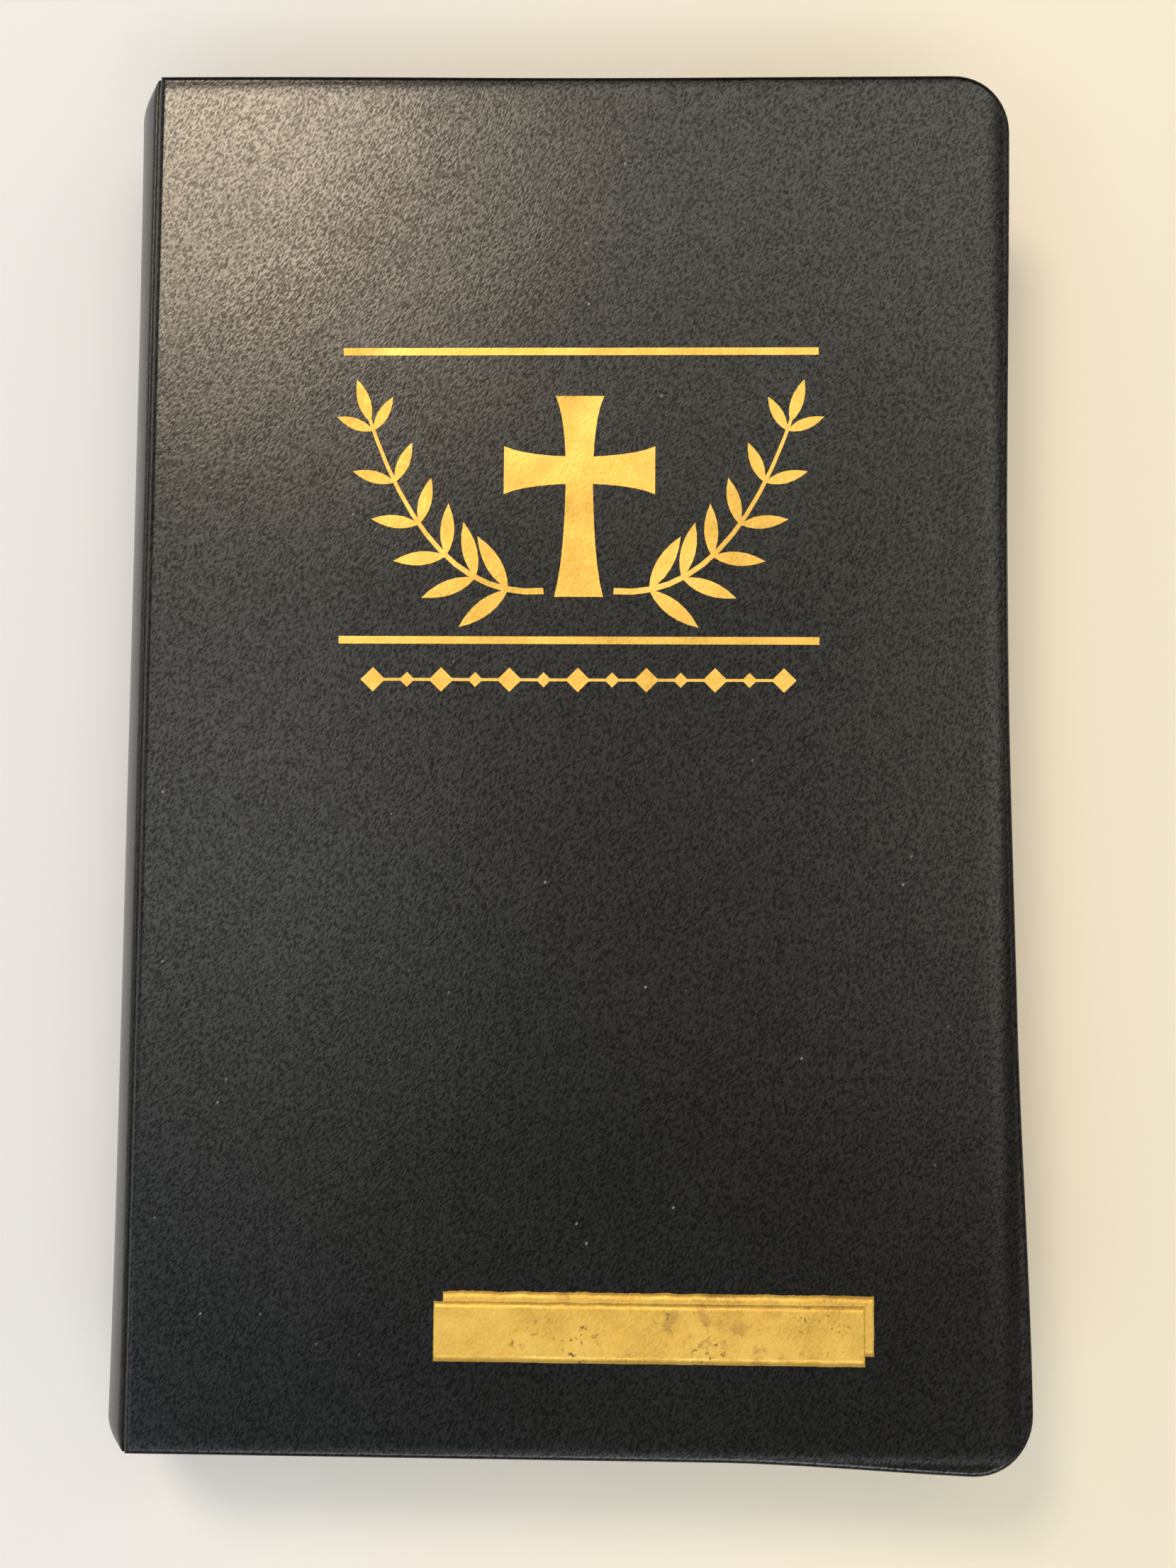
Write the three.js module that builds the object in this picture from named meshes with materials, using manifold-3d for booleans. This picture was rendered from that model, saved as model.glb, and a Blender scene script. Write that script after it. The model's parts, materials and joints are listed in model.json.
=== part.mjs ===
// A closed bible in limp imitation leather, lying on its back cover.
// Millimetres. +Z is up, +Y is the head of the book, the spine is at -X and the fore edge at +X.
// The origin is the middle of the underside of the whole book.
import * as THREE from 'three';
import { mergeVertices } from 'three/addons/utils/BufferGeometryUtils.js';
import Module from 'manifold-3d';

const wasm = await Module();
wasm.setup();

// ---- Driving dimensions -------------------------------------------------------------------

const BOOK_WIDTH = 155.5;
const BOOK_HEIGHT = 236;
const BOOK_THICKNESS = 36;
const SPINE_BULGE = 6.5;
const COVER_CORNER_RADIUS = 10;

const LEATHER = 0.9;
const BOARD = 0.65;
const PASTEDOWN = 0.2;
const LEAF = 0.2;
const MAP_LEAVES = 0.5;
const FOIL = 0.08;
const GLUE_LINE = 0.05;
const FOIL_GLUE_LINE = 0.02;
const JOINT_GAP = 0.15;

const HEAD_SQUARE = 4.5;
const FORE_SQUARE = 4;
const BOARD_INSET = 1.4;
const PASTEDOWN_INSET = 3.5;
const PAGE_CORNER_RADIUS = 9;
const SECTIONS_IN_EACH_HALF = 8;

// The middle opening is a little above half height, so the opened front half lies clear of a
// back cover that has been turned right round to the left.
const MIDDLE_OPENING_Z = 18.5;
const MIDDLE_GAP = 0.2;

// The sewn spine: four thread stations, and a woven band at head and tail.
const THREAD_STATIONS = [-84, -28, 28, 84];
const THREAD_WIDTH = 0.8;
const BAND_LENGTH = 1.7;
const BAND_GAP = 0.2;

const CORNER_STEPS = 6;
const SPINE_STEPS = 14;

// ---- Places worked out from them ----------------------------------------------------------

const SPINE_OUTER_X = -BOOK_WIDTH / 2;
const FORE_EDGE_X = BOOK_WIDTH / 2;
const HINGE_X = SPINE_OUTER_X + SPINE_BULGE;
const HALF_HEIGHT = BOOK_HEIGHT / 2;
const PAGE_HALF_HEIGHT = HALF_HEIGHT - HEAD_SQUARE;
const MID_Z = BOOK_THICKNESS / 2;
const PANEL_CENTRE_X = (HINGE_X + FORE_EDGE_X) / 2;

// The back cover, from the table up.
const BACK_LEATHER_Z = [0, LEATHER];
const BACK_BOARD_Z = above(BACK_LEATHER_Z, GLUE_LINE, BOARD);
const BACK_PASTEDOWN_Z = above(BACK_BOARD_Z, GLUE_LINE, PASTEDOWN);
const BACK_FLYLEAF_Z = above(BACK_PASTEDOWN_Z, 4 * GLUE_LINE, LEAF);
const MAP_LEAVES_Z = above(BACK_FLYLEAF_Z, GLUE_LINE, MAP_LEAVES);
const REAR_SECTIONS_LOW = MAP_LEAVES_Z[1] + 2 * GLUE_LINE;

// The front cover, from the top down.
const FOIL_Z = [BOOK_THICKNESS - FOIL, BOOK_THICKNESS];
const FRONT_LEATHER_Z = below(FOIL_Z, FOIL_GLUE_LINE, LEATHER);
const FRONT_BOARD_Z = below(FRONT_LEATHER_Z, GLUE_LINE, BOARD);
const FRONT_PASTEDOWN_Z = below(FRONT_BOARD_Z, GLUE_LINE, PASTEDOWN);
const FRONT_FLYLEAF_Z = below(FRONT_PASTEDOWN_Z, 3 * GLUE_LINE, LEAF);
const PRESENTATION_LEAF_Z = below(FRONT_FLYLEAF_Z, GLUE_LINE, LEAF);
const TITLE_LEAF_Z = below(PRESENTATION_LEAF_Z, GLUE_LINE, LEAF);
const FRONT_SECTIONS_HIGH = TITLE_LEAF_Z[0] - 2 * GLUE_LINE;

// The spine is an arc of a circle through the two hinge lines and the outermost point.
// Each layer inside it ends at its own height above and below the middle.
const HINGE_RISE = 17.3;
const LINING_RISE = 14.6;
const MULL_RISE = 14.8;
const THREAD_RISE = 14.2;
const BAND_RISE = 13.4;
const SPINE_RADIUS = (HINGE_RISE ** 2 + SPINE_BULGE ** 2) / (2 * SPINE_BULGE);
const SPINE_CENTRE_X = SPINE_OUTER_X + SPINE_RADIUS;
const LINING_RADII = [SPINE_RADIUS - 1.35, SPINE_RADIUS - 1.0];
const MULL_RADII = [SPINE_RADIUS - 1.7, SPINE_RADIUS - 1.42];
const THREAD_RADII = [SPINE_RADIUS - 2.05, SPINE_RADIUS - 1.78];
const PAGE_RADIUS = SPINE_RADIUS - 2.15;
const BAND_RADII = [SPINE_RADIUS - 3.8, SPINE_RADIUS - 2.3];
const MULL_HALF_HEIGHT = 109;
const LEAF_WIDTH = FORE_EDGE_X - FORE_SQUARE - spineX(PAGE_RADIUS, FRONT_SECTIONS_HIGH);

function above(layer, gap, thickness) {
  const low = layer[1] + gap;
  return [low, low + thickness];
}

function below(layer, gap, thickness) {
  const high = layer[0] - gap;
  return [high - thickness, high];
}

// Where an arc of the given radius about the spine's centre crosses a height.
function spineX(radius, z) {
  return SPINE_CENTRE_X - Math.sqrt(radius ** 2 - (z - MID_Z) ** 2);
}

// ---- Materials ----------------------------------------------------------------------------

const leather = material(0x1b1a19, 0.5, 0);
const board = material(0x8d8468, 0.9, 0);
const endpaper = material(0xe4dcc6, 0.85, 0);
const paper = material(0xf0eada, 0.85, 0);
const lining = material(0xb08c5c, 0.9, 0);
const mull = material(0xd9d3c0, 0.95, 0);
const thread = material(0xe9e4d6, 0.9, 0);
const band = material(0xc8a64b, 0.8, 0);
const foil = material(0xd9ab55, 0.35, 0.9);

function material(color, roughness, metalness) {
  return new THREE.MeshStandardMaterial({ color, roughness, metalness });
}

// ---- Solids -------------------------------------------------------------------------------

const book = new THREE.Group();

function add(name, geometry, finish) {
  const mesh = new THREE.Mesh(geometry, finish);
  mesh.name = name;
  book.add(mesh);
}

// A flat outline in X and Y, given thickness between two heights.
function plate(outline, [low, high]) {
  const geometry = new THREE.ExtrudeGeometry(outline, {
    depth: high - low,
    bevelEnabled: false,
    curveSegments: CORNER_STEPS,
  });
  geometry.translate(0, 0, low);
  return geometry;
}

// A leaf or panel: square at the spine side, rounded at both fore-edge corners.
function panelOutline(spineSide, foreSide, halfHeight, radius) {
  const outline = new THREE.Shape();
  outline.moveTo(spineSide, -halfHeight);
  outline.lineTo(foreSide - radius, -halfHeight);
  outline.absarc(foreSide - radius, -halfHeight + radius, radius, -Math.PI / 2, 0, false);
  outline.lineTo(foreSide, halfHeight - radius);
  outline.absarc(foreSide - radius, halfHeight - radius, radius, 0, Math.PI / 2, false);
  outline.lineTo(spineSide, halfHeight);
  outline.closePath();
  return outline;
}

// A cover layer, set in from the panel's edges.
function coverLayer(inset, layer) {
  const outline = panelOutline(
    HINGE_X + JOINT_GAP + inset,
    FORE_EDGE_X - inset,
    HALF_HEIGHT - inset,
    COVER_CORNER_RADIUS - inset / 2,
  );
  return plate(outline, layer);
}

function pageOutline(spineSide) {
  return panelOutline(spineSide, spineSide + LEAF_WIDTH, PAGE_HALF_HEIGHT, PAGE_CORNER_RADIUS);
}

// A loose leaf that reaches from the sewn edge to the fore edge.
function leaf(layer) {
  const spineSide = spineX(PAGE_RADIUS, layer[0] > MID_Z ? layer[1] : layer[0]);
  return plate(pageOutline(spineSide), layer);
}

// A folded section leans with the rounded spine: its upper face is shifted in X from its lower one.
function section(low, high) {
  const lowX = spineX(PAGE_RADIUS, low);
  const highX = spineX(PAGE_RADIUS, high);
  const geometry = plate(pageOutline(lowX), [low, high]);
  const position = geometry.attributes.position;
  for (let i = 0; i < position.count; i += 1) {
    const rise = (position.getZ(i) - low) / (high - low);
    position.setX(i, position.getX(i) + rise * (highX - lowX));
  }
  return geometry;
}

// A layer of the rounded spine: the space between two arcs, as long in Y as asked. It ends at a
// height either side of the middle, or where it meets the hinge side, whichever comes first.
function spineLayer([inner, outer], halfRise, [yLow, yHigh], limitX = Infinity) {
  const endAngle = (radius) => {
    const byHeight = Math.asin(Math.min(1, halfRise / radius));
    const byHinge = limitX === Infinity ? Math.PI : Math.acos((SPINE_CENTRE_X - limitX) / radius);
    return Math.min(byHeight, byHinge);
  };
  const outline = new THREE.Shape();
  const addArc = (radius, sign) => {
    const end = endAngle(radius);
    for (let i = 0; i <= SPINE_STEPS; i += 1) {
      const angle = sign * end * (1 - (2 * i) / SPINE_STEPS);
      const x = SPINE_CENTRE_X - radius * Math.cos(angle);
      const z = MID_Z + radius * Math.sin(angle);
      if (i === 0 && sign === 1) {
        outline.moveTo(x, -z);
      } else {
        outline.lineTo(x, -z);
      }
    }
  };
  addArc(outer, 1);
  addArc(inner, -1);
  outline.closePath();
  const geometry = new THREE.ExtrudeGeometry(outline, { depth: yHigh - yLow, bevelEnabled: false });
  // The outline was drawn in X and -Z, and its depth becomes Y.
  geometry.rotateX(-Math.PI / 2);
  geometry.translate(0, yLow, 0);
  return geometry;
}

// ---- Gold foil ----------------------------------------------------------------------------

function toSolid(geometry) {
  const bare = geometry.clone();
  bare.deleteAttribute('normal');
  bare.deleteAttribute('uv');
  const merged = mergeVertices(bare, 1e-4);
  return new wasm.Manifold(new wasm.Mesh({
    numProp: 3,
    vertProperties: new Float32Array(merged.attributes.position.array),
    triVerts: new Uint32Array(merged.index.array),
  }));
}

function toGeometry(solid) {
  const mesh = solid.getMesh();
  const geometry = new THREE.BufferGeometry();
  geometry.setAttribute('position', new THREE.BufferAttribute(new Float32Array(mesh.vertProperties), 3));
  geometry.setIndex(new THREE.BufferAttribute(new Uint32Array(mesh.triVerts), 1));
  geometry.computeVertexNormals();
  return geometry;
}

function joined(outlines) {
  const solids = outlines.map((outline) => toSolid(plate(outline, FOIL_Z)));
  return toGeometry(solids.reduce((whole, piece) => whole.add(piece)));
}

function rectangle(centreX, centreY, width, height) {
  const outline = new THREE.Shape();
  outline.moveTo(centreX - width / 2, centreY - height / 2);
  outline.lineTo(centreX + width / 2, centreY - height / 2);
  outline.lineTo(centreX + width / 2, centreY + height / 2);
  outline.lineTo(centreX - width / 2, centreY + height / 2);
  outline.closePath();
  return outline;
}

function lozenge(centreX, centreY, width, height) {
  const outline = new THREE.Shape();
  outline.moveTo(centreX - width / 2, centreY);
  outline.lineTo(centreX, centreY - height / 2);
  outline.lineTo(centreX + width / 2, centreY);
  outline.lineTo(centreX, centreY + height / 2);
  outline.closePath();
  return outline;
}

// One arm of the cross, from its centre outwards, widening in a shallow curve to its end.
function crossArm(centre, angle, length, waist, flare) {
  const along = new THREE.Vector2(Math.cos(angle), Math.sin(angle));
  const across = new THREE.Vector2(-along.y, along.x);
  const at = (distance, side) => centre.clone()
    .addScaledVector(along, distance)
    .addScaledVector(across, side);
  const points = [at(-waist, -waist), at(length, -flare), at(length, flare), at(-waist, waist)];
  const bends = [at(length * 0.7, -waist), at(length * 0.7, waist)];
  const outline = new THREE.Shape();
  outline.moveTo(points[0].x, points[0].y);
  outline.quadraticCurveTo(bends[0].x, bends[0].y, points[1].x, points[1].y);
  outline.lineTo(points[2].x, points[2].y);
  outline.quadraticCurveTo(bends[1].x, bends[1].y, points[3].x, points[3].y);
  outline.closePath();
  return outline;
}

// A pointed leaf from its foot to its tip.
function foilLeaf(foot, angle, length, width) {
  const along = new THREE.Vector2(Math.cos(angle), Math.sin(angle));
  const across = new THREE.Vector2(-along.y, along.x);
  const at = (distance, side) => foot.clone()
    .addScaledVector(along, distance)
    .addScaledVector(across, side);
  const tip = at(length, 0);
  const left = at(length * 0.45, width);
  const right = at(length * 0.45, -width);
  const outline = new THREE.Shape();
  outline.moveTo(foot.x, foot.y);
  outline.quadraticCurveTo(right.x, right.y, tip.x, tip.y);
  outline.quadraticCurveTo(left.x, left.y, foot.x, foot.y);
  outline.closePath();
  return outline;
}

// The ornament fills the title block: 82 mm wide, 60 mm high, centred on the panel.
const ORNAMENT_WIDTH = 82;
const ORNAMENT_TOP = 69.5;
const LOWER_RULE_Y = 18.5;
const RULE_HEIGHT = 1.3;
const CROSS_CENTRE = new THREE.Vector2(PANEL_CENTRE_X, 48);
const CROSS_WAIST = 2.3;
const CROSS_FLARE = 4.2;
const CROSS_SHORT_ARM = 13;
const CROSS_LONG_ARM = 22;

function crossOutlines() {
  return [0, 1, 2, 3].map((quarter) => {
    const length = quarter === 3 ? CROSS_LONG_ARM : CROSS_SHORT_ARM;
    return crossArm(CROSS_CENTRE, (quarter * Math.PI) / 2, length, CROSS_WAIST, CROSS_FLARE);
  });
}

// A spray rises outwards from beside the foot of the cross and carries leaves on both sides.
const SPRAY_LEAF_PAIRS = 6;
const SPRAY_START = [6, 27];
const SPRAY_BEND = [26, 25];
const SPRAY_END = [37, 59];
const SPRAY_STEM = 1.1;
const SPRAY_STEM_STEPS = 12;
const SPRAY_LEAF_TURN = 0.85;
const SPRAY_LEAF_LENGTHS = [11.5, 6.5];
const SPRAY_LEAF_WIDTHS = [2.9, 1.9];
const SPRAY_TIP_LEAF = { share: 0.96, length: 8, width: 2.2 };
const SPRAY_BUD = 1.6;

function sprayOutlines(side) {
  const curve = new THREE.QuadraticBezierCurve(
    new THREE.Vector2(PANEL_CENTRE_X + side * SPRAY_START[0], SPRAY_START[1]),
    new THREE.Vector2(PANEL_CENTRE_X + side * SPRAY_BEND[0], SPRAY_BEND[1]),
    new THREE.Vector2(PANEL_CENTRE_X + side * SPRAY_END[0], SPRAY_END[1]),
  );
  const outlines = [stemOutline(curve)];
  for (let i = 1; i <= SPRAY_LEAF_PAIRS; i += 1) {
    const share = i / (SPRAY_LEAF_PAIRS + 0.4);
    const foot = curve.getPoint(share);
    const tangent = curve.getTangent(share);
    const heading = Math.atan2(tangent.y, tangent.x);
    const length = THREE.MathUtils.lerp(...SPRAY_LEAF_LENGTHS, share);
    const width = THREE.MathUtils.lerp(...SPRAY_LEAF_WIDTHS, share);
    for (const turn of [-SPRAY_LEAF_TURN, SPRAY_LEAF_TURN]) {
      outlines.push(foilLeaf(foot, heading + turn, length, width));
    }
  }
  const tip = curve.getPoint(1);
  const last = curve.getTangent(1);
  outlines.push(foilLeaf(
    curve.getPoint(SPRAY_TIP_LEAF.share),
    Math.atan2(last.y, last.x),
    SPRAY_TIP_LEAF.length,
    SPRAY_TIP_LEAF.width,
  ));
  outlines.push(lozenge(tip.x, tip.y, SPRAY_BUD, SPRAY_BUD));
  return outlines;
}

function stemOutline(curve) {
  const steps = SPRAY_STEM_STEPS;
  const sides = [[], []];
  for (let i = 0; i <= steps; i += 1) {
    const point = curve.getPoint(i / steps);
    const tangent = curve.getTangent(i / steps);
    const half = (SPRAY_STEM / 2) * (1 - 0.5 * (i / steps));
    sides[0].push(new THREE.Vector2(point.x - tangent.y * half, point.y + tangent.x * half));
    sides[1].unshift(new THREE.Vector2(point.x + tangent.y * half, point.y - tangent.x * half));
  }
  return new THREE.Shape([...sides[0], ...sides[1]]);
}

// A row of lozenges threaded on a fine rule.
const LOZENGES = 13;
const LOZENGE_ROW_Y = 11.7;
const LOZENGE_SIZES = [4.2, 2.6];
const LOZENGE_ROW_WIDTH = ORNAMENT_WIDTH - 12;
const LOZENGE_RULE = { overhang: 2, height: 0.5 };

function lozengeRowOutlines() {
  const ruleWidth = LOZENGE_ROW_WIDTH + 2 * LOZENGE_RULE.overhang;
  const outlines = [rectangle(PANEL_CENTRE_X, LOZENGE_ROW_Y, ruleWidth, LOZENGE_RULE.height)];
  const pitch = LOZENGE_ROW_WIDTH / (LOZENGES - 1);
  for (let i = 0; i < LOZENGES; i += 1) {
    const x = PANEL_CENTRE_X + (i - (LOZENGES - 1) / 2) * pitch;
    const size = LOZENGE_SIZES[i % 2];
    outlines.push(lozenge(x, LOZENGE_ROW_Y, size, size));
  }
  return outlines;
}

// The foil bar near the tail edge.
const BAR_LEFT = PANEL_CENTRE_X - 23.1;
const BAR_RIGHT = PANEL_CENTRE_X + 48.2;
const BAR_LOW = -102.1;
const BAR_HIGH = -92.3;

// ---- The book -----------------------------------------------------------------------------

function buildFrontCover() {
  add('front_cover_leather', coverLayer(0, FRONT_LEATHER_Z), leather);
  add('front_cover_board', coverLayer(BOARD_INSET, FRONT_BOARD_Z), board);
  add('front_pastedown', coverLayer(PASTEDOWN_INSET, FRONT_PASTEDOWN_Z), endpaper);
  add('title_foil_cross', joined(crossOutlines()), foil);
  add('title_foil_spray_left', joined(sprayOutlines(-1)), foil);
  add('title_foil_spray_right', joined(sprayOutlines(1)), foil);
  add('title_foil_lozenge_row', joined(lozengeRowOutlines()), foil);
  const ruleYs = { upper: ORNAMENT_TOP - RULE_HEIGHT / 2, lower: LOWER_RULE_Y };
  for (const [place, y] of Object.entries(ruleYs)) {
    const rule = rectangle(PANEL_CENTRE_X, y, ORNAMENT_WIDTH, RULE_HEIGHT);
    add(`title_foil_${place}_rule`, plate(rule, FOIL_Z), foil);
  }
  const bar = rectangle(
    (BAR_LEFT + BAR_RIGHT) / 2,
    (BAR_LOW + BAR_HIGH) / 2,
    BAR_RIGHT - BAR_LEFT,
    BAR_HIGH - BAR_LOW,
  );
  add('imprint_foil_bar', plate(bar, FOIL_Z), foil);
}

function buildLeaves() {
  add('front_flyleaf', leaf(FRONT_FLYLEAF_Z), endpaper);
  add('presentation_leaf', leaf(PRESENTATION_LEAF_Z), paper);
  add('title_leaf', leaf(TITLE_LEAF_Z), paper);
  add('map_leaves', leaf(MAP_LEAVES_Z), paper);
  add('back_flyleaf', leaf(BACK_FLYLEAF_Z), endpaper);
}

function buildSections(prefix, low, high) {
  const pitch = (high - low + GLUE_LINE) / SECTIONS_IN_EACH_HALF;
  for (let i = 0; i < SECTIONS_IN_EACH_HALF; i += 1) {
    const foot = low + i * pitch;
    add(`${prefix}_section_${i + 1}`, section(foot, foot + pitch - GLUE_LINE), paper);
  }
}

function buildSpine() {
  const fullHeight = [-HALF_HEIGHT, HALF_HEIGHT];
  const pageHeight = [-PAGE_HALF_HEIGHT, PAGE_HALF_HEIGHT];
  add(
    'spine_leather',
    spineLayer([SPINE_RADIUS - LEATHER, SPINE_RADIUS], HINGE_RISE, fullHeight, HINGE_X - JOINT_GAP),
    leather,
  );
  add('spine_lining', spineLayer(LINING_RADII, LINING_RISE, pageHeight), lining);
  add('spine_mull', spineLayer(MULL_RADII, MULL_RISE, [-MULL_HALF_HEIGHT, MULL_HALF_HEIGHT]), mull);
  THREAD_STATIONS.forEach((y, i) => {
    const length = [y - THREAD_WIDTH / 2, y + THREAD_WIDTH / 2];
    add(`sewing_thread_${i + 1}`, spineLayer(THREAD_RADII, THREAD_RISE, length), thread);
  });
  const near = PAGE_HALF_HEIGHT + BAND_GAP;
  const far = near + BAND_LENGTH;
  add('head_band', spineLayer(BAND_RADII, BAND_RISE, [near, far]), band);
  add('tail_band', spineLayer(BAND_RADII, BAND_RISE, [-far, -near]), band);
}

function buildBackCover() {
  add('back_cover_leather', coverLayer(0, BACK_LEATHER_Z), leather);
  add('back_cover_board', coverLayer(BOARD_INSET, BACK_BOARD_Z), board);
  add('back_pastedown', coverLayer(PASTEDOWN_INSET, BACK_PASTEDOWN_Z), endpaper);
}

buildFrontCover();
buildLeaves();
buildSections('front', MIDDLE_OPENING_Z + MIDDLE_GAP / 2, FRONT_SECTIONS_HIGH);
buildSections('rear', REAR_SECTIONS_LOW, MIDDLE_OPENING_Z - MIDDLE_GAP / 2);
buildSpine();
buildBackCover();

export default book;
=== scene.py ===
import json
import math
import random

import bmesh
import bpy
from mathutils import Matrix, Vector, noise


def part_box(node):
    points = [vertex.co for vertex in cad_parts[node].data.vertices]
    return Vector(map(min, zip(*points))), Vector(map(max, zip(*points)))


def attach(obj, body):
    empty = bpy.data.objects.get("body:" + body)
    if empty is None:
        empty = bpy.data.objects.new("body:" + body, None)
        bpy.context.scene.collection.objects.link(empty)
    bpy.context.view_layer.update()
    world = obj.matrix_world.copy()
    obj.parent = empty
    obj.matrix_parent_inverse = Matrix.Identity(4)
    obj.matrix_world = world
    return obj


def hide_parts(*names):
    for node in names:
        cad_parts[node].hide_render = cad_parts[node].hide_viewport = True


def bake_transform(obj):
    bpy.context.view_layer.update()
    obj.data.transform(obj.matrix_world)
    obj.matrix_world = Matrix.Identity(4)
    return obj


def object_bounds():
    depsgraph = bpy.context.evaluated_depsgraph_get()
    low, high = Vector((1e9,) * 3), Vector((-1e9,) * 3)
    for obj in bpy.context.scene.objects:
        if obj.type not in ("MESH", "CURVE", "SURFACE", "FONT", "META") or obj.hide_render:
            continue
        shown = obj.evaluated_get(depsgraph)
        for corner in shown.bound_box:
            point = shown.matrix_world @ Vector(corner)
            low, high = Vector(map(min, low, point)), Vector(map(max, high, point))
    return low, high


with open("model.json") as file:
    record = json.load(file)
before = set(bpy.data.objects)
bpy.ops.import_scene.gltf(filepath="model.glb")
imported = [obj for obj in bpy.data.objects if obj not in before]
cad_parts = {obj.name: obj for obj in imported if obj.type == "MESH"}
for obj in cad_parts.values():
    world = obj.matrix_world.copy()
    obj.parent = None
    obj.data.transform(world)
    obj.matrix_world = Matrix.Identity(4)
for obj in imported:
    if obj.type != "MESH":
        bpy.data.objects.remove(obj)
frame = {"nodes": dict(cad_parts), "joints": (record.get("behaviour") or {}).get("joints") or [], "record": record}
CAD_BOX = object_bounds()

MM = 0.001
RANDOM = random.Random(7)
JOINTS = {joint["name"]: joint for joint in frame["joints"]}

# ---- Places and sizes, from the frame -----------------------------------------------------

PANEL_LOW, PANEL_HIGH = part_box("front_cover_leather")
BACK_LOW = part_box("back_cover_leather")[0]
SPINE_LOW, SPINE_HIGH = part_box("spine_leather")
PASTEDOWN_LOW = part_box("front_pastedown")[0]
BACK_PASTEDOWN_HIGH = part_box("back_pastedown")[1]
FLYLEAF_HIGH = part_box("front_flyleaf")[1]
BACK_FLYLEAF_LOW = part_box("back_flyleaf")[0]
FIRST_FRONT_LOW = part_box("front_section_1")[0]
LAST_REAR_LOW, LAST_REAR_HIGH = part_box("rear_section_8")

BOOK_TOP = CAD_BOX[1].z
MID_Z = BOOK_TOP / 2
HALF_HEIGHT = PANEL_HIGH.y
HINGE_X = JOINTS["front_cover_hinge"]["pos_m"][0]
FOLD_Z = JOINTS["middle_opening"]["pos_m"][2]
SPINE_BULGE = HINGE_X - SPINE_LOW.x
COVER_THICKNESS = PANEL_HIGH.z - PASTEDOWN_LOW.z
CORNER_RADIUS = 10 * MM
PAGE_CORNER_RADIUS = 9 * MM
EDGE_ROLL = 0.92 * MM


# ---- Node helpers -------------------------------------------------------------------------


def math_node(tree, operation, *values):
    node = tree.nodes.new("ShaderNodeMath")
    node.operation = operation
    for socket, value in zip(node.inputs, values):
        if isinstance(value, (int, float)):
            socket.default_value = value
        else:
            tree.links.new(value, socket)
    return node.outputs["Value"]


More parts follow.
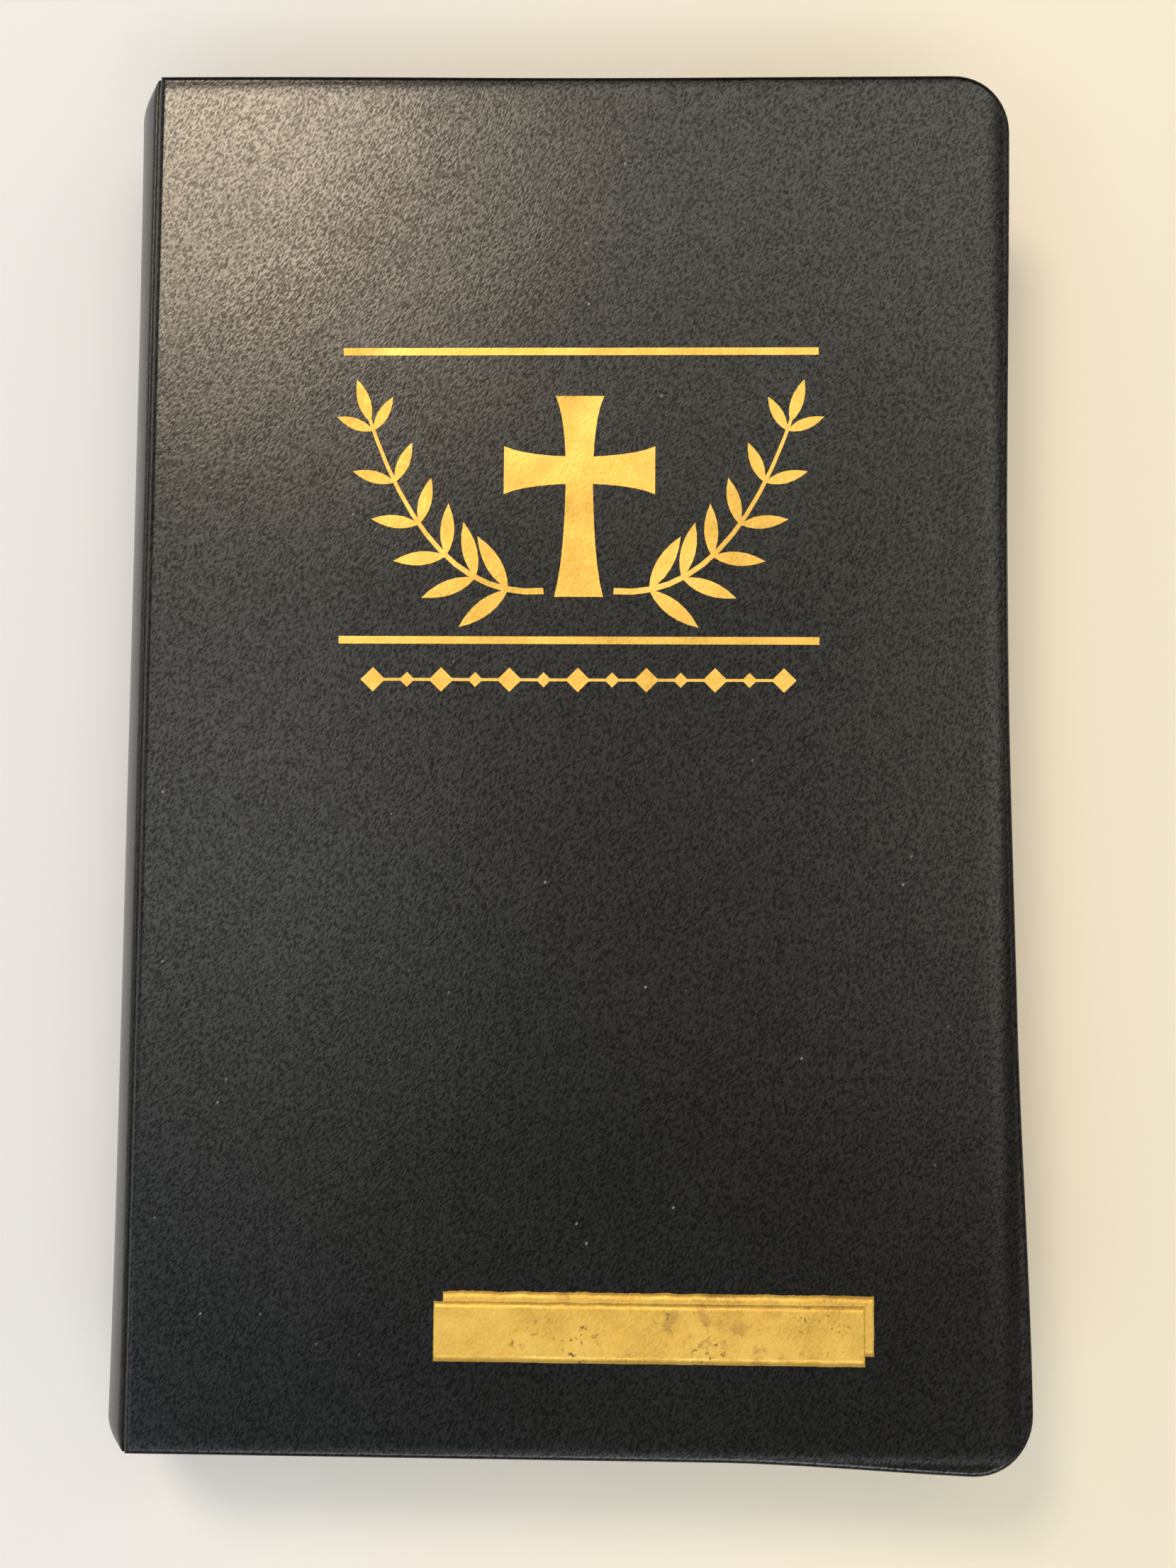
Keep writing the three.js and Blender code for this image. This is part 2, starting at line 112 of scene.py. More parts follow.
class Shader:
    """A material's node tree, with short calls for the nodes it needs."""

    def __init__(self, name):
        self.material = bpy.data.materials.new(name)
        self.material.use_nodes = True
        self.nodes = self.material.node_tree.nodes
        self.links = self.material.node_tree.links
        self.surface = self.nodes["Principled BSDF"]
        self.place = self.nodes.new("ShaderNodeTexCoord").outputs["Object"]

    def set(self, **values):
        for key, value in values.items():
            self.surface.inputs[key.replace("_", " ")].default_value = value

    def link(self, output, socket):
        self.links.new(output, socket)

    def mapped(self, rotate, scale):
        """The place, turned about Z and then stretched."""
        turned = self.nodes.new("ShaderNodeMapping")
        turned.inputs["Rotation"].default_value = (0, 0, rotate)
        self.link(self.place, turned.inputs["Vector"])
        stretched = self.nodes.new("ShaderNodeMapping")
        stretched.inputs["Scale"].default_value = scale
        self.link(turned.outputs["Vector"], stretched.inputs["Vector"])
        return stretched.outputs["Vector"]

    def noise(self, scale, detail=2.0, rough=0.5, source=None, distortion=0.0):
        node = self.nodes.new("ShaderNodeTexNoise")
        node.inputs["Scale"].default_value = scale
        node.inputs["Detail"].default_value = detail
        node.inputs["Roughness"].default_value = rough
        node.inputs["Distortion"].default_value = distortion
        self.link(source or self.place, node.inputs["Vector"])
        return node.outputs["Fac"]

    def cells(self, scale, feature, source):
        node = self.nodes.new("ShaderNodeTexVoronoi")
        node.feature = feature
        node.inputs["Scale"].default_value = scale
        self.link(source, node.inputs["Vector"])
        return node.outputs["Distance"]

    def wave(self, scale, axis, distortion):
        node = self.nodes.new("ShaderNodeTexWave")
        node.bands_direction = axis
        node.inputs["Scale"].default_value = scale
        node.inputs["Distortion"].default_value = distortion
        self.link(self.place, node.inputs["Vector"])
        return node.outputs["Fac"]

    def ramp(self, value, stops):
        node = self.nodes.new("ShaderNodeValToRGB")
        band = node.color_ramp
        while len(band.elements) < len(stops):
            band.elements.new(0.5)
        for element, (position, color) in zip(band.elements, stops):
            element.position = position
            element.color = (*color, 1)
        self.link(value, node.inputs["Fac"])
        return node.outputs["Color"]

    def curve(self, value, low, high, to_low, to_high):
        node = self.nodes.new("ShaderNodeMapRange")
        node.inputs["From Min"].default_value = low
        node.inputs["From Max"].default_value = high
        node.inputs["To Min"].default_value = to_low
        node.inputs["To Max"].default_value = to_high
        self.link(value, node.inputs["Value"])
        return node.outputs["Result"]

    def math(self, operation, *values):
        return math_node(self.material.node_tree, operation, *values)

    def mix(self, share, first, second):
        node = self.nodes.new("ShaderNodeMix")
        node.data_type = "RGBA"
        self.link(share, node.inputs["Factor"])
        for socket, value in ((node.inputs["A"], first), (node.inputs["B"], second)):
            if isinstance(value, tuple):
                socket.default_value = (*value, 1)
            else:
                self.link(value, socket)
        return node.outputs["Result"]

    def split(self, vector):
        node = self.nodes.new("ShaderNodeSeparateXYZ")
        self.link(vector, node.inputs["Vector"])
        return node.outputs["X"], node.outputs["Y"], node.outputs["Z"]

    def bump(self, height, strength, distance, under=None):
        node = self.nodes.new("ShaderNodeBump")
        node.inputs["Strength"].default_value = strength
        node.inputs["Distance"].default_value = distance
        self.link(height, node.inputs["Height"])
        if under is not None:
            self.link(under, node.inputs["Normal"])
        return node.outputs["Normal"]

    def color(self, output):
        self.link(output, self.surface.inputs["Base Color"])

    def rough(self, output):
        self.link(output, self.surface.inputs["Roughness"])

    def normal(self, output):
        self.link(output, self.surface.inputs["Normal"])


# ---- Materials ----------------------------------------------------------------------------

GRAIN_TURN = math.radians(-56)


def leather_height(shader):
    """Fine creases that lean to the right, over soft pebbles."""
    along = shader.mapped(GRAIN_TURN, (0.42, 1, 1))
    creases = shader.noise(3300, 1.0, 0.5, along, 0.3)
    pebbles = shader.cells(2600, "SMOOTH_F1", shader.mapped(GRAIN_TURN, (0.6, 1, 1)))
    return shader.math("ADD", creases, shader.math("MULTIPLY", pebbles, 0.5))


def leather_material(name, rough_low, rough_high, grain, gloss):
    """Near-black leather: darker and dull in its creases, lighter and glossier on its pebbles, with a few specks
    of dust. The darker creases and lighter pebbles are partly the grain's own tone and partly painted shade and
    painted highlight.
    """
    shader = Shader(name)
    height = leather_height(shader)
    patches = shader.noise(28, 3.0, 0.55)
    # Base colour from the grain height: darker in the creases and lighter on the pebbles, partly the grain's own
    # tone and partly painted shade in the creases and painted highlight on the pebbles.
    base = shader.ramp(height, [(0.45, (0.0016, 0.0016, 0.0015)), (0.95, (0.006, 0.0058, 0.0052))])
    dust_seed = shader.cells(230, "F1", shader.mapped(GRAIN_TURN, (0.7, 1, 1)))
    dust = shader.curve(dust_seed, 0.03, 0.055, 0.55, 0.0)
    dust_patches = shader.curve(shader.noise(60, 2.0), 0.5, 0.62, 0.0, 1.0)
    dust_share = shader.math("MULTIPLY", dust, dust_patches)
    shader.color(shader.mix(dust_share, base, (0.42, 0.41, 0.38)))
    shader.rough(shader.curve(patches, 0.3, 0.7, rough_low, rough_high))
    shader.link(
        shader.curve(height, 0.52, 0.86, gloss[0], gloss[1]),
        shader.surface.inputs["Specular IOR Level"],
    )
    soft = shader.bump(shader.noise(110, 1.0), 0.06, 0.0006)
    shader.normal(shader.bump(height, grain, 0.00008, soft))
    return shader.material


def foil_material(name, wear):
    """Hot-stamped gold over the leather's grain, rubbed through in small spots."""
    shader = Shader(name)
    height = leather_height(shader)
    tone = shader.ramp(
        shader.noise(90, 4.0, 0.6),
        [(0.3, (0.58, 0.33, 0.04)), (0.5, (0.76, 0.45, 0.065)), (0.72, (0.85, 0.55, 0.11))],
    )
    # Paler gold on the raised grain: partly the foil's own tone and partly a painted highlight on the grain's
    # tops.
    grain_tone_and_highlight = shader.curve(height, 0.55, 0.9, 0.0, 0.35)
    tone = shader.mix(grain_tone_and_highlight, tone, (0.92, 0.66, 0.22))
    spots = shader.math(
        "MULTIPLY",
        shader.curve(shader.noise(1100, 3.0), 0.6, 0.68, 0.0, 1.0),
        shader.curve(shader.noise(120, 2.0), 0.5, 0.7, 0.0, wear),
    )
    stains = shader.math(
        "MULTIPLY",
        shader.curve(shader.noise(260, 4.0, 0.65), 0.55, 0.62, 0.0, 0.6),
        shader.curve(shader.noise(55, 1.0), 0.46, 0.56, 0.0, wear),
    )
    tone = shader.mix(stains, tone, (0.42, 0.22, 0.05))
    shader.color(shader.mix(spots, tone, (0.05, 0.035, 0.015)))
    shader.set(Metallic=0.55)
    shader.rough(shader.curve(shader.noise(200, 2.0), 0.3, 0.7, 0.36, 0.52))
    shader.normal(shader.bump(height, 0.3, 0.00012))
    return shader.material


CREAM_LOW = (0.8, 0.75, 0.63)
CREAM_HIGH = (0.86, 0.82, 0.71)


def paper_tone(shader, low, high):
    return shader.ramp(shader.noise(35, 4.0, 0.6), [(0.25, low), (0.75, high)])


def paper_material(name, low, high, fibre=1500):
    shader = Shader(name)
    shader.color(paper_tone(shader, low, high))
    shader.set(Roughness=0.85)
    shader.normal(shader.bump(shader.noise(fibre, 3.0, 0.7), 0.15, 0.00006))
    return shader.material


RULE_PITCH = 2.9 * MM
COLUMNS_CENTRE_X = 2.5 * MM
COLUMNS_INNER = 3.5 * MM
COLUMNS_OUTER = 57.5 * MM
COLUMNS_HALF_HEIGHT = 98.5 * MM


def printed_leaf_material(name):
    """Cream paper with two columns of short dark dashes in place of reading matter."""
    shader = Shader(name)
    x, y, _ = shader.split(shader.place)
    paper = paper_tone(shader, CREAM_LOW, CREAM_HIGH)
    row = shader.math("DIVIDE", y, RULE_PITCH)
    within_row = shader.math("FRACT", row)
    lines = shader.math(
        "MULTIPLY",
        shader.curve(within_row, 0.3, 0.4, 0, 1),
        shader.curve(within_row, 0.65, 0.75, 1, 0),
    )
    word = shader.nodes.new("ShaderNodeCombineXYZ")
    shader.link(x, word.inputs["X"])
    shader.link(shader.math("MULTIPLY", shader.math("FLOOR", row), 0.37), word.inputs["Y"])
    breaks = shader.curve(shader.noise(260, 1.0, 0.5, word.outputs["Vector"]), 0.4, 0.44, 0, 1)
    from_centre = shader.math("ABSOLUTE", shader.math("SUBTRACT", x, COLUMNS_CENTRE_X))
    inside = shader.math(
        "MULTIPLY",
        shader.math("GREATER_THAN", from_centre, COLUMNS_INNER),
        shader.math("LESS_THAN", from_centre, COLUMNS_OUTER),
    )
    tall = shader.math("LESS_THAN", shader.math("ABSOLUTE", y), COLUMNS_HALF_HEIGHT)
    dashes = shader.math("MULTIPLY", lines, breaks)
    share = shader.math("MULTIPLY", dashes, shader.math("MULTIPLY", inside, tall))
    shader.color(shader.mix(shader.math("MULTIPLY", share, 0.62), paper, (0.2, 0.19, 0.18)))
    shader.set(Roughness=0.8)
    shader.normal(shader.bump(shader.noise(1500, 3.0, 0.7), 0.12, 0.00005))
    return shader.material


def gilt_edge_material(name):
    """Cream leaves whose three cut edges are gilded, with fine lines where the leaves lie."""
    shader = Shader(name)
    geometry = shader.nodes.new("ShaderNodeNewGeometry")
    _, _, up = shader.split(geometry.outputs["Normal"])
    x, _, _ = shader.split(shader.place)
    edge = shader.curve(shader.math("ABSOLUTE", up), 0.55, 0.75, 1.0, 0.0)
    cut = shader.curve(x, HINGE_X + 4 * MM, HINGE_X + 5 * MM, 0.0, 1.0)
    gilded = shader.math("MULTIPLY", edge, cut)
    streaks = shader.noise(55, 4.0, 0.6, shader.mapped(0, (0.25, 0.25, 60)))
    gold = shader.ramp(
        streaks,
        [(0.3, (0.5, 0.3, 0.07)), (0.52, (0.72, 0.47, 0.15)), (0.75, (0.88, 0.66, 0.3))],
    )
    shader.color(shader.mix(gilded, paper_tone(shader, CREAM_LOW, CREAM_HIGH), gold))
    shader.link(shader.math("MULTIPLY", gilded, 0.75), shader.surface.inputs["Metallic"])
    shader.rough(shader.curve(gilded, 0, 1, 0.85, 0.34))
    leaves = shader.noise(16, 2.0, 0.5, shader.mapped(0, (0.2, 0.2, 620)))
    shader.normal(shader.bump(leaves, 0.25, 0.00008))
    return shader.material


def woven_material(name, color, thread_pitch):
    """Crossed threads, with painted shade in the gaps between them."""
    shader = Shader(name)
    warp = shader.wave(1 / thread_pitch, "Y", 0.6)
    weft = shader.wave(1 / thread_pitch, "Z", 0.6)
    weave = shader.math("MAXIMUM", warp, weft)
    # Painted shade: the gaps between the threads take 0.55 of the thread colour.
    dark = tuple(channel * 0.55 for channel in color)
    shader.color(shader.ramp(weave, [(0.2, dark), (0.8, color)]))
    shader.set(Roughness=0.92)
    shader.normal(shader.bump(weave, 0.5, 0.0001))
    return shader.material


STRIPE_PITCH = 1.6 * MM


def band_material(name):
    """A woven band of gold and cream stripes that run round the roll."""
    shader = Shader(name)
    _, _, z = shader.split(shader.place)
    stripes = shader.math("SINE", shader.math("MULTIPLY", z, 2 * math.pi / STRIPE_PITCH))
    shader.color(shader.ramp(
        shader.curve(stripes, -0.3, 0.3, 0, 1),
        [(0.35, (0.62, 0.4, 0.1)), (0.65, (0.82, 0.76, 0.6))],
    ))
    shader.set(Roughness=0.75)
    threads = shader.wave(1500, "Z", 0.3)
    shader.normal(shader.bump(threads, 0.5, 0.0001))
    return shader.material


def floor_material(name):
    """Pale paper, warmer on the side away from the window."""
    shader = Shader(name)
    tone = shader.noise(3, 3.0, 0.5)
    x, _, _ = shader.split(shader.place)
    paper = shader.ramp(tone, [(0.3, (0.82, 0.82, 0.84)), (0.7, (0.85, 0.85, 0.87))])
    warm = shader.curve(x, -0.08, 0.08, 0.0, 1.0)
    shader.color(shader.mix(warm, paper, (0.9, 0.84, 0.71)))
    shader.set(Roughness=0.9)
    shader.normal(shader.bump(shader.noise(900, 3.0, 0.6), 0.05, 0.0001))
    return shader.material


COVER_LEATHER = leather_material("cover_leather", 0.2, 0.25, 0.24, (0.22, 0.64))
SPINE_LEATHER = leather_material("spine_leather_smooth", 0.26, 0.32, 0.25, (0.35, 0.6))
TITLE_FOIL = foil_material("title_foil", 0.12)
BAR_FOIL = foil_material("imprint_foil", 0.9)
ENDPAPER = paper_material("endpaper", (0.74, 0.68, 0.54), (0.82, 0.77, 0.64))
PAPER = paper_material("leaf_paper", CREAM_LOW, CREAM_HIGH)
PRINTED = printed_leaf_material("leaf_with_rules")
GILT_PAGES = gilt_edge_material("gilt_pages")
BOARD = paper_material("grey_board", (0.34, 0.31, 0.24), (0.42, 0.39, 0.31), 700)
LINING = paper_material("kraft_lining", (0.4, 0.28, 0.16), (0.48, 0.35, 0.21), 700)
MULL = woven_material("mull_cloth", (0.78, 0.74, 0.64), 0.0012)
THREAD = woven_material("sewing_thread", (0.85, 0.82, 0.74), 0.0004)
BAND = band_material("band_stripes")


# ---- Mesh helpers -------------------------------------------------------------------------


def piece(name, points, faces, material):
    """A smooth-shaded object with outward normals, linked to the scene and given its slot."""
    mesh = bpy.data.meshes.new(name)
    mesh.from_pydata([tuple(point) for point in points], [], faces)
    mesh.validate()
    tidy = bmesh.new()
    tidy.from_mesh(mesh)
    bmesh.ops.remove_doubles(tidy, verts=tidy.verts, dist=1e-7)
    bmesh.ops.recalc_face_normals(tidy, faces=tidy.faces)
    for face in tidy.faces:
        face.smooth = True
    tidy.to_mesh(mesh)
    tidy.free()
    mesh.materials.append(material)
    made = bpy.data.objects.new(name, mesh)
    bpy.context.scene.collection.objects.link(made)
    return made


def sharpen(made, degrees=35):
    """Keeps edges crisp where faces meet at more than this angle."""
    bpy.context.view_layer.objects.active = made
    made.select_set(True)
    bpy.ops.object.shade_smooth_by_angle(angle=math.radians(degrees))
    made.select_set(False)


def loft(rings):
    """Points and faces of a closed skin over rings that have the same number of points."""
    count = len(rings[0])
    points = [point for ring in rings for point in ring]
    faces = []
    for row in range(len(rings) - 1):
        for i in range(count):
            j = (i + 1) % count
            base = row * count
            faces.append((base + i, base + j, base + count + j, base + count + i))
    faces.append(tuple(reversed(range(count))))
    last = (len(rings) - 1) * count
    faces.append(tuple(range(last, last + count)))
    return points, faces


def spaced(low, high, count):
    return [low + (high - low) * i / (count - 1) for i in range(count)]


def thick_line(line, thickness):
    """A closed outline round an open line of (x, z) points, half the thickness on each side."""
    left, right = [], []
    for i, (x, z) in enumerate(line):
        before = line[max(i - 1, 0)]
        after = line[min(i + 1, len(line) - 1)]
        along = Vector((after[0] - before[0], after[1] - before[1])).normalized()
        across = Vector((-along.y, along.x)) * (thickness / 2)
        left.append((x + across.x, z + across.y))
        right.append((x - across.x, z - across.y))
    return left + right[::-1]


def strip(name, line, thickness, y_low, y_high, steps, material):
    """A long strip: an (x, z) line given thickness and drawn out along Y."""
    outline = thick_line(line, thickness)
    rings = [[(x, y, z) for x, z in outline] for y in spaced(y_low, y_high, steps)]
    points, faces = loft(rings)
    return piece(name, points, faces, material)


# ---- Covers -------------------------------------------------------------------------------

FORE_FALL = 0.85 * MM
HINGE_FALL = 0.16 * MM
ENDS_FALL = 0.15 * MM


def fall(x, y):
    """How far the cover's face lies below its flat level: rolled edges and a limp, wavy panel."""
    from_fore = PANEL_HIGH.x - x
    from_hinge = x - HINGE_X
    from_end = HALF_HEIGHT - abs(y)
    drop = FORE_FALL * math.exp(-((from_fore / (2.6 * MM)) ** 2))
    drop += HINGE_FALL * math.exp(-((from_hinge / (0.6 * MM)) ** 2))
    drop += ENDS_FALL * math.exp(-((from_end / (1.3 * MM)) ** 2))
    wave = noise.noise(Vector((x * 22, y * 16, 3.7))) + 0.5 * noise.noise(Vector((x * 60, y * 45, 9.1)))
    return drop + 0.07 * MM * (wave + 0.9)


def eased(value, low, high):
    share = min(max((value - low) / (high - low), 0.0), 1.0)
    return share * share * (3 - 2 * share)


def limp(x, y):
    """The place of a point of the front panel once the limp cover has settled out of square."""
    across = (x - HINGE_X) / (PANEL_HIGH.x - HINGE_X)
    drawn_in = 1.5 * MM * math.exp(-(((y - 22 * MM) / (66 * MM)) ** 2)) * across ** 3
    flare = 1.4 * MM * eased(-y, 45 * MM, 112 * MM) * across ** 3
    tail_corner = 1.8 * MM * eased(x, 26 * MM, 78 * MM) * eased(-y, 70 * MM, 118 * MM)
    return x - drawn_in + flare, y - tail_corner + head_corner(x, y)


def head_corner(x, y):
    return 0.7 * MM * eased(-x, -20 * MM, 70 * MM) * eased(y, 70 * MM, 118 * MM)


def panel_rows(half_height, fore_x, radius):
    """(y, rightmost x, outward direction) of each row of a panel with rounded fore corners."""
    rows = []
    straight = half_height - radius
    for y in spaced(-straight, straight, 92):
        rows.append((y, fore_x, (1.0, 0.0)))
    for i in range(1, 13):
        turn = math.radians(90 * i / 12)
        reach = straight + radius * math.sin(turn)
        x = fore_x - radius + radius * math.cos(turn)
        rows.append((reach, x, (math.cos(turn), math.sin(turn))))
        rows.insert(0, (-reach, x, (math.cos(turn), -math.sin(turn))))
    return rows


def column_shares():
    """Shares across the panel, closer together towards both edges."""
    return [0.5 - 0.5 * math.cos(math.pi * i / 64) for i in range(65)]


def cover_points(underside):
    """Rows of (x, y) grid points, and the loop of (x, y, outward x, outward y) round them."""
    left = HINGE_X + 0.15 * MM + EDGE_ROLL
    fore = PANEL_HIGH.x - EDGE_ROLL
    rows = panel_rows(HALF_HEIGHT - EDGE_ROLL, fore, CORNER_RADIUS - EDGE_ROLL)
    shares = column_shares()
    grid = []
    for y, right, _ in rows:
        row = [(left + (right - left) * share, y) for share in shares]
        grid.append(row if underside else [limp(x, y) for x, y in row])
    last = len(shares) - 1
    top = len(rows) - 1
    loop = []
    for i in range(last):
        loop.append((0, i, (0.0, -1.0) if i else (-1.0, -1.0)))
    for j, (_, _, outward) in enumerate(rows[:-1]):
        loop.append((j, last, outward))
    for i in range(last, 0, -1):
        loop.append((top, i, (0.0, 1.0)))
    for j in range(top, 0, -1):
        loop.append((j, 0, (-1.0, 0.0) if j < top else (-1.0, 1.0)))
    return grid, loop


def cover_skin(name, underside):
    """Leather wrapped round one board: the face, a rolled edge, the turn-in and the hidden inner face."""
    grid, loop = cover_points(underside)
    columns = len(grid[0])
    thickness = COVER_THICKNESS
    skin = PANEL_HIGH.z - PANEL_LOW.z

    def at(x, y, depth):
        level = PANEL_HIGH.z - depth
        return (x, y, BACK_LOW.z + PANEL_HIGH.z - level) if underside else (x, y, level)

    def face_depth(x, y):
        return fall(x, y) if not underside else 0.6 * fall(x, y) if near_edge(x, y) else 0.0

    points = [at(x, y, face_depth(x, y)) for row in grid for x, y in row]
    faces = []
    for j in range(len(grid) - 1):
        for i in range(columns - 1):
            a = j * columns + i
            faces.append((a, a + 1, a + columns + 1, a + columns))
    ring = [j * columns + i for j, i, _ in loop]

    def next_ring(place):
        nonlocal ring
        start = len(points)
        for j, i, outward in loop:
            x, y = grid[j][i]
            offset, depth = place(face_depth(x, y))
            points.append(at(x + outward[0] * offset, y + outward[1] * offset, depth))
        fresh = list(range(start, start + len(loop)))
        for k in range(len(loop)):
            n = (k + 1) % len(loop)
            faces.append((ring[k], ring[n], fresh[n], fresh[k]))
        ring = fresh

    for step in range(1, 9):
        turn = math.pi * step / 8
        next_ring(lambda top, turn=turn: (
            EDGE_ROLL * math.sin(turn) ** 0.6,
            top + (thickness - top) * (1 - math.cos(turn)) / 2,
        ))
    turn_in = PASTEDOWN_LOW.x - PANEL_LOW.x - EDGE_ROLL - 0.1 * MM
    lip = 0.23 * MM
    next_ring(lambda top: (-turn_in, thickness))
    next_ring(lambda top: (-turn_in, thickness - lip))
    next_ring(lambda top: (0.0, thickness - lip))
    next_ring(lambda top: (0.0, skin + 0.03 * MM))
    faces.append(tuple(ring))
    return piece(name, points, faces, COVER_LEATHER)


def near_edge(x, y):
    margin = 6 * MM
    beside = min(PANEL_HIGH.x - x, x - HINGE_X)
    return beside < margin or HALF_HEIGHT - abs(y) < margin


def colour_boards():
    """The boards are the CAD's own solids, with a better material."""
    for name in ("front_cover_board", "back_cover_board"):
        materials = frame["nodes"][name].data.materials
        materials.clear()
        materials.append(BOARD)


def make_covers():
    front = cover_skin("front_cover_skin", False)
    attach(front, "front_cover")
    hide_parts("front_cover_leather")
    back = cover_skin("back_cover_skin", True)
    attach(back, "back_cover")
    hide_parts("back_cover_leather")


# ---- Foil ---------------------------------------------------------------------------------


def drape(x, y, lift):
    """The height of a point that lies this far above the front cover's wavy face."""
    return PANEL_HIGH.z - fall(x, y) + lift


def make_title_foil():
    """The stamped ornament, cut finer and laid on the wavy leather."""
    for node in sorted(frame["nodes"]):
        if not node.startswith("title_foil"):
            continue
        work = bmesh.new()
        work.from_mesh(frame["nodes"][node].data)
        bmesh.ops.remove_doubles(work, verts=work.verts, dist=1e-7)
        bmesh.ops.triangulate(work, faces=work.faces)
        for _ in range(3):
            long_edges = [edge for edge in work.edges if edge.calc_length() > 2.5 * MM]
            bmesh.ops.subdivide_edges(work, edges=long_edges, cuts=1)
            bmesh.ops.triangulate(work, faces=work.faces)
        middle = sum(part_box(node)[side].z for side in (0, 1)) / 2
        for vert in work.verts:
            lift = 0.035 * MM if vert.co.z > middle else -0.06 * MM
            vert.co.z = drape(vert.co.x, vert.co.y, lift)
        mesh = bpy.data.meshes.new(node + "_stamped")
        work.to_mesh(mesh)
        work.free()
        mesh.materials.append(TITLE_FOIL)
        made = bpy.data.objects.new(node + "_stamped", mesh)
        bpy.context.scene.collection.objects.link(made)
        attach(made, "front_cover")
        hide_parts(node)


def foil_patch(name, left, right, low, high, lift, ragged_top, seed):
    """A stamped bar whose edges wander a little, laid on the leather."""
    columns, rows = 220, 9

    def edge(x, base, amount, key):
        coarse = noise.noise(Vector((x * 300, key, seed)))
        fine = noise.noise(Vector((x * 1600, key, seed + 5)))
        return base + amount * (0.6 * coarse + 0.4 * fine)

    top, bottom = [], []
    for x in spaced(left, right, columns):
        y_low = edge(x, low, 0.12 * MM, 1.3)
        y_high = edge(x, high, ragged_top, 7.9)
        for y in spaced(y_low, y_high, rows):
            side = 0.12 * MM * noise.noise(Vector((y * 500, seed, x * 3)))
            top.append((x + side, y, drape(x, y, lift)))
            bottom.append((x + side, y, drape(x, y, -0.05 * MM)))
    points = top + bottom
    under = len(top)
    faces = []
    for i in range(columns - 1):
        for j in range(rows - 1):
            a = i * rows + j
            b = a + rows
            faces.append((a, b, b + 1, a + 1))
            faces.append((under + a, under + a + 1, under + b + 1, under + b))
    for i in range(columns - 1):
        for j in (0, rows - 1):
            a = i * rows + j
            faces.append((a, a + rows, under + a + rows, under + a))
    for j in range(rows - 1):
        for i in (0, columns - 1):
            a = i * rows + j
            faces.append((a, a + 1, under + a + 1, under + a))
    made = piece(name, points, faces, BAR_FOIL)
    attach(made, "front_cover")
    return made


def make_imprint_bar():
    """The bar was stamped twice, and the first strike shows past the second at its top right."""
    low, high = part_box("imprint_foil_bar")
    shift = Vector((1.5 * MM, 1.7 * MM))
    foil_patch(
        "imprint_bar_first_strike",
        low.x + shift.x, high.x + shift.x, low.y + shift.y, high.y + shift.y,
        0.02 * MM, 0.3 * MM, 2.0,
    )
    second = foil_patch(
        "imprint_bar_second_strike",
        low.x, high.x, low.y, high.y,
        0.045 * MM, 0.16 * MM, 11.0,
    )
    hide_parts("imprint_foil_bar")


# ---- Spine --------------------------------------------------------------------------------

SPINE_END_RADIUS = 4 * MM
SPINE_REACH = (SPINE_HIGH.z - SPINE_LOW.z) / 2
SPINE_DEPTH = SPINE_HIGH.x - SPINE_LOW.x
SPINE_RADIUS = (SPINE_REACH ** 2 + SPINE_DEPTH ** 2) / (2 * SPINE_DEPTH)
SPINE_CENTRE_X = SPINE_LOW.x + SPINE_RADIUS
JOINT_X = HINGE_X - 0.1 * MM
SPINE_DRAWN_IN = 0.45 * MM
GROOVE_DEPTH = 1.4 * MM
GROOVE_WIDTH = 0.7 * MM
LEAST_SKIN = 0.35 * MM
GROOVE_FROM_MIDDLE = 12 * MM


def spine_share(y):
    """How much of the spine's bulge is left near its rounded head and tail corners."""
    past = min(max(abs(y) - (HALF_HEIGHT - SPINE_END_RADIUS), 0.0), SPINE_END_RADIUS)
    return 1 - (SPINE_END_RADIUS - math.sqrt(SPINE_END_RADIUS ** 2 - past ** 2)) / SPINE_BULGE


def spine_profile(radius, steps=72):
    """(x, z) points from the front hinge round to the back hinge."""
    end = math.acos((SPINE_CENTRE_X - JOINT_X) / radius)
    line = []
    for i in range(steps + 1):
        turn = end * math.cos(math.pi * i / steps)
        line.append((SPINE_CENTRE_X - radius * math.cos(turn), radius * math.sin(turn)))
    return line


def make_spine_skin():
    """The leather dips into a groove at each hinge, and is a little drawn in at half height."""
    thickness = PANEL_HIGH.z - PANEL_LOW.z
    outer = spine_profile(SPINE_RADIUS)
    inner = spine_profile(SPINE_RADIUS - thickness)
    straight = HALF_HEIGHT - SPINE_END_RADIUS
    ends = [straight + SPINE_END_RADIUS * math.sin(math.pi / 2 * i / 10) for i in range(1, 11)]
    rings = []
    for y in [-end for end in reversed(ends)] + spaced(-straight, straight, 70) + ends:
        share = spine_share(y)
        drawn_in = SPINE_DRAWN_IN * (1 - (abs(y) / HALF_HEIGHT) ** 5)
        level = y + head_corner(HINGE_X, y)
        outside, inside = [], []
        for (out_x, out_z), (in_x, in_z) in zip(outer, inner):
            from_joint = JOINT_X - out_x
            depth = from_joint * share - drawn_in * (from_joint / SPINE_BULGE)
            rise = abs(out_z) - GROOVE_DEPTH * math.exp(-((from_joint / GROOVE_WIDTH) ** 2))
            outside.append((JOINT_X - depth, level, MID_Z + math.copysign(rise, out_z)))
            inner_rise = abs(in_z)
            if inner_rise > GROOVE_FROM_MIDDLE:
                inner_rise = min(inner_rise, rise - LEAST_SKIN)
            inner_x = JOINT_X - (JOINT_X - in_x) * share
            inside.append((inner_x, level, MID_Z + math.copysign(inner_rise, in_z)))
        rings.append(outside + inside[::-1])
    points, faces = loft(rings)
    skin = piece("spine_skin", points, faces, SPINE_LEATHER)
    sharpen(skin, 50)
    bend_with_middle(skin)
    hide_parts("spine_leather")


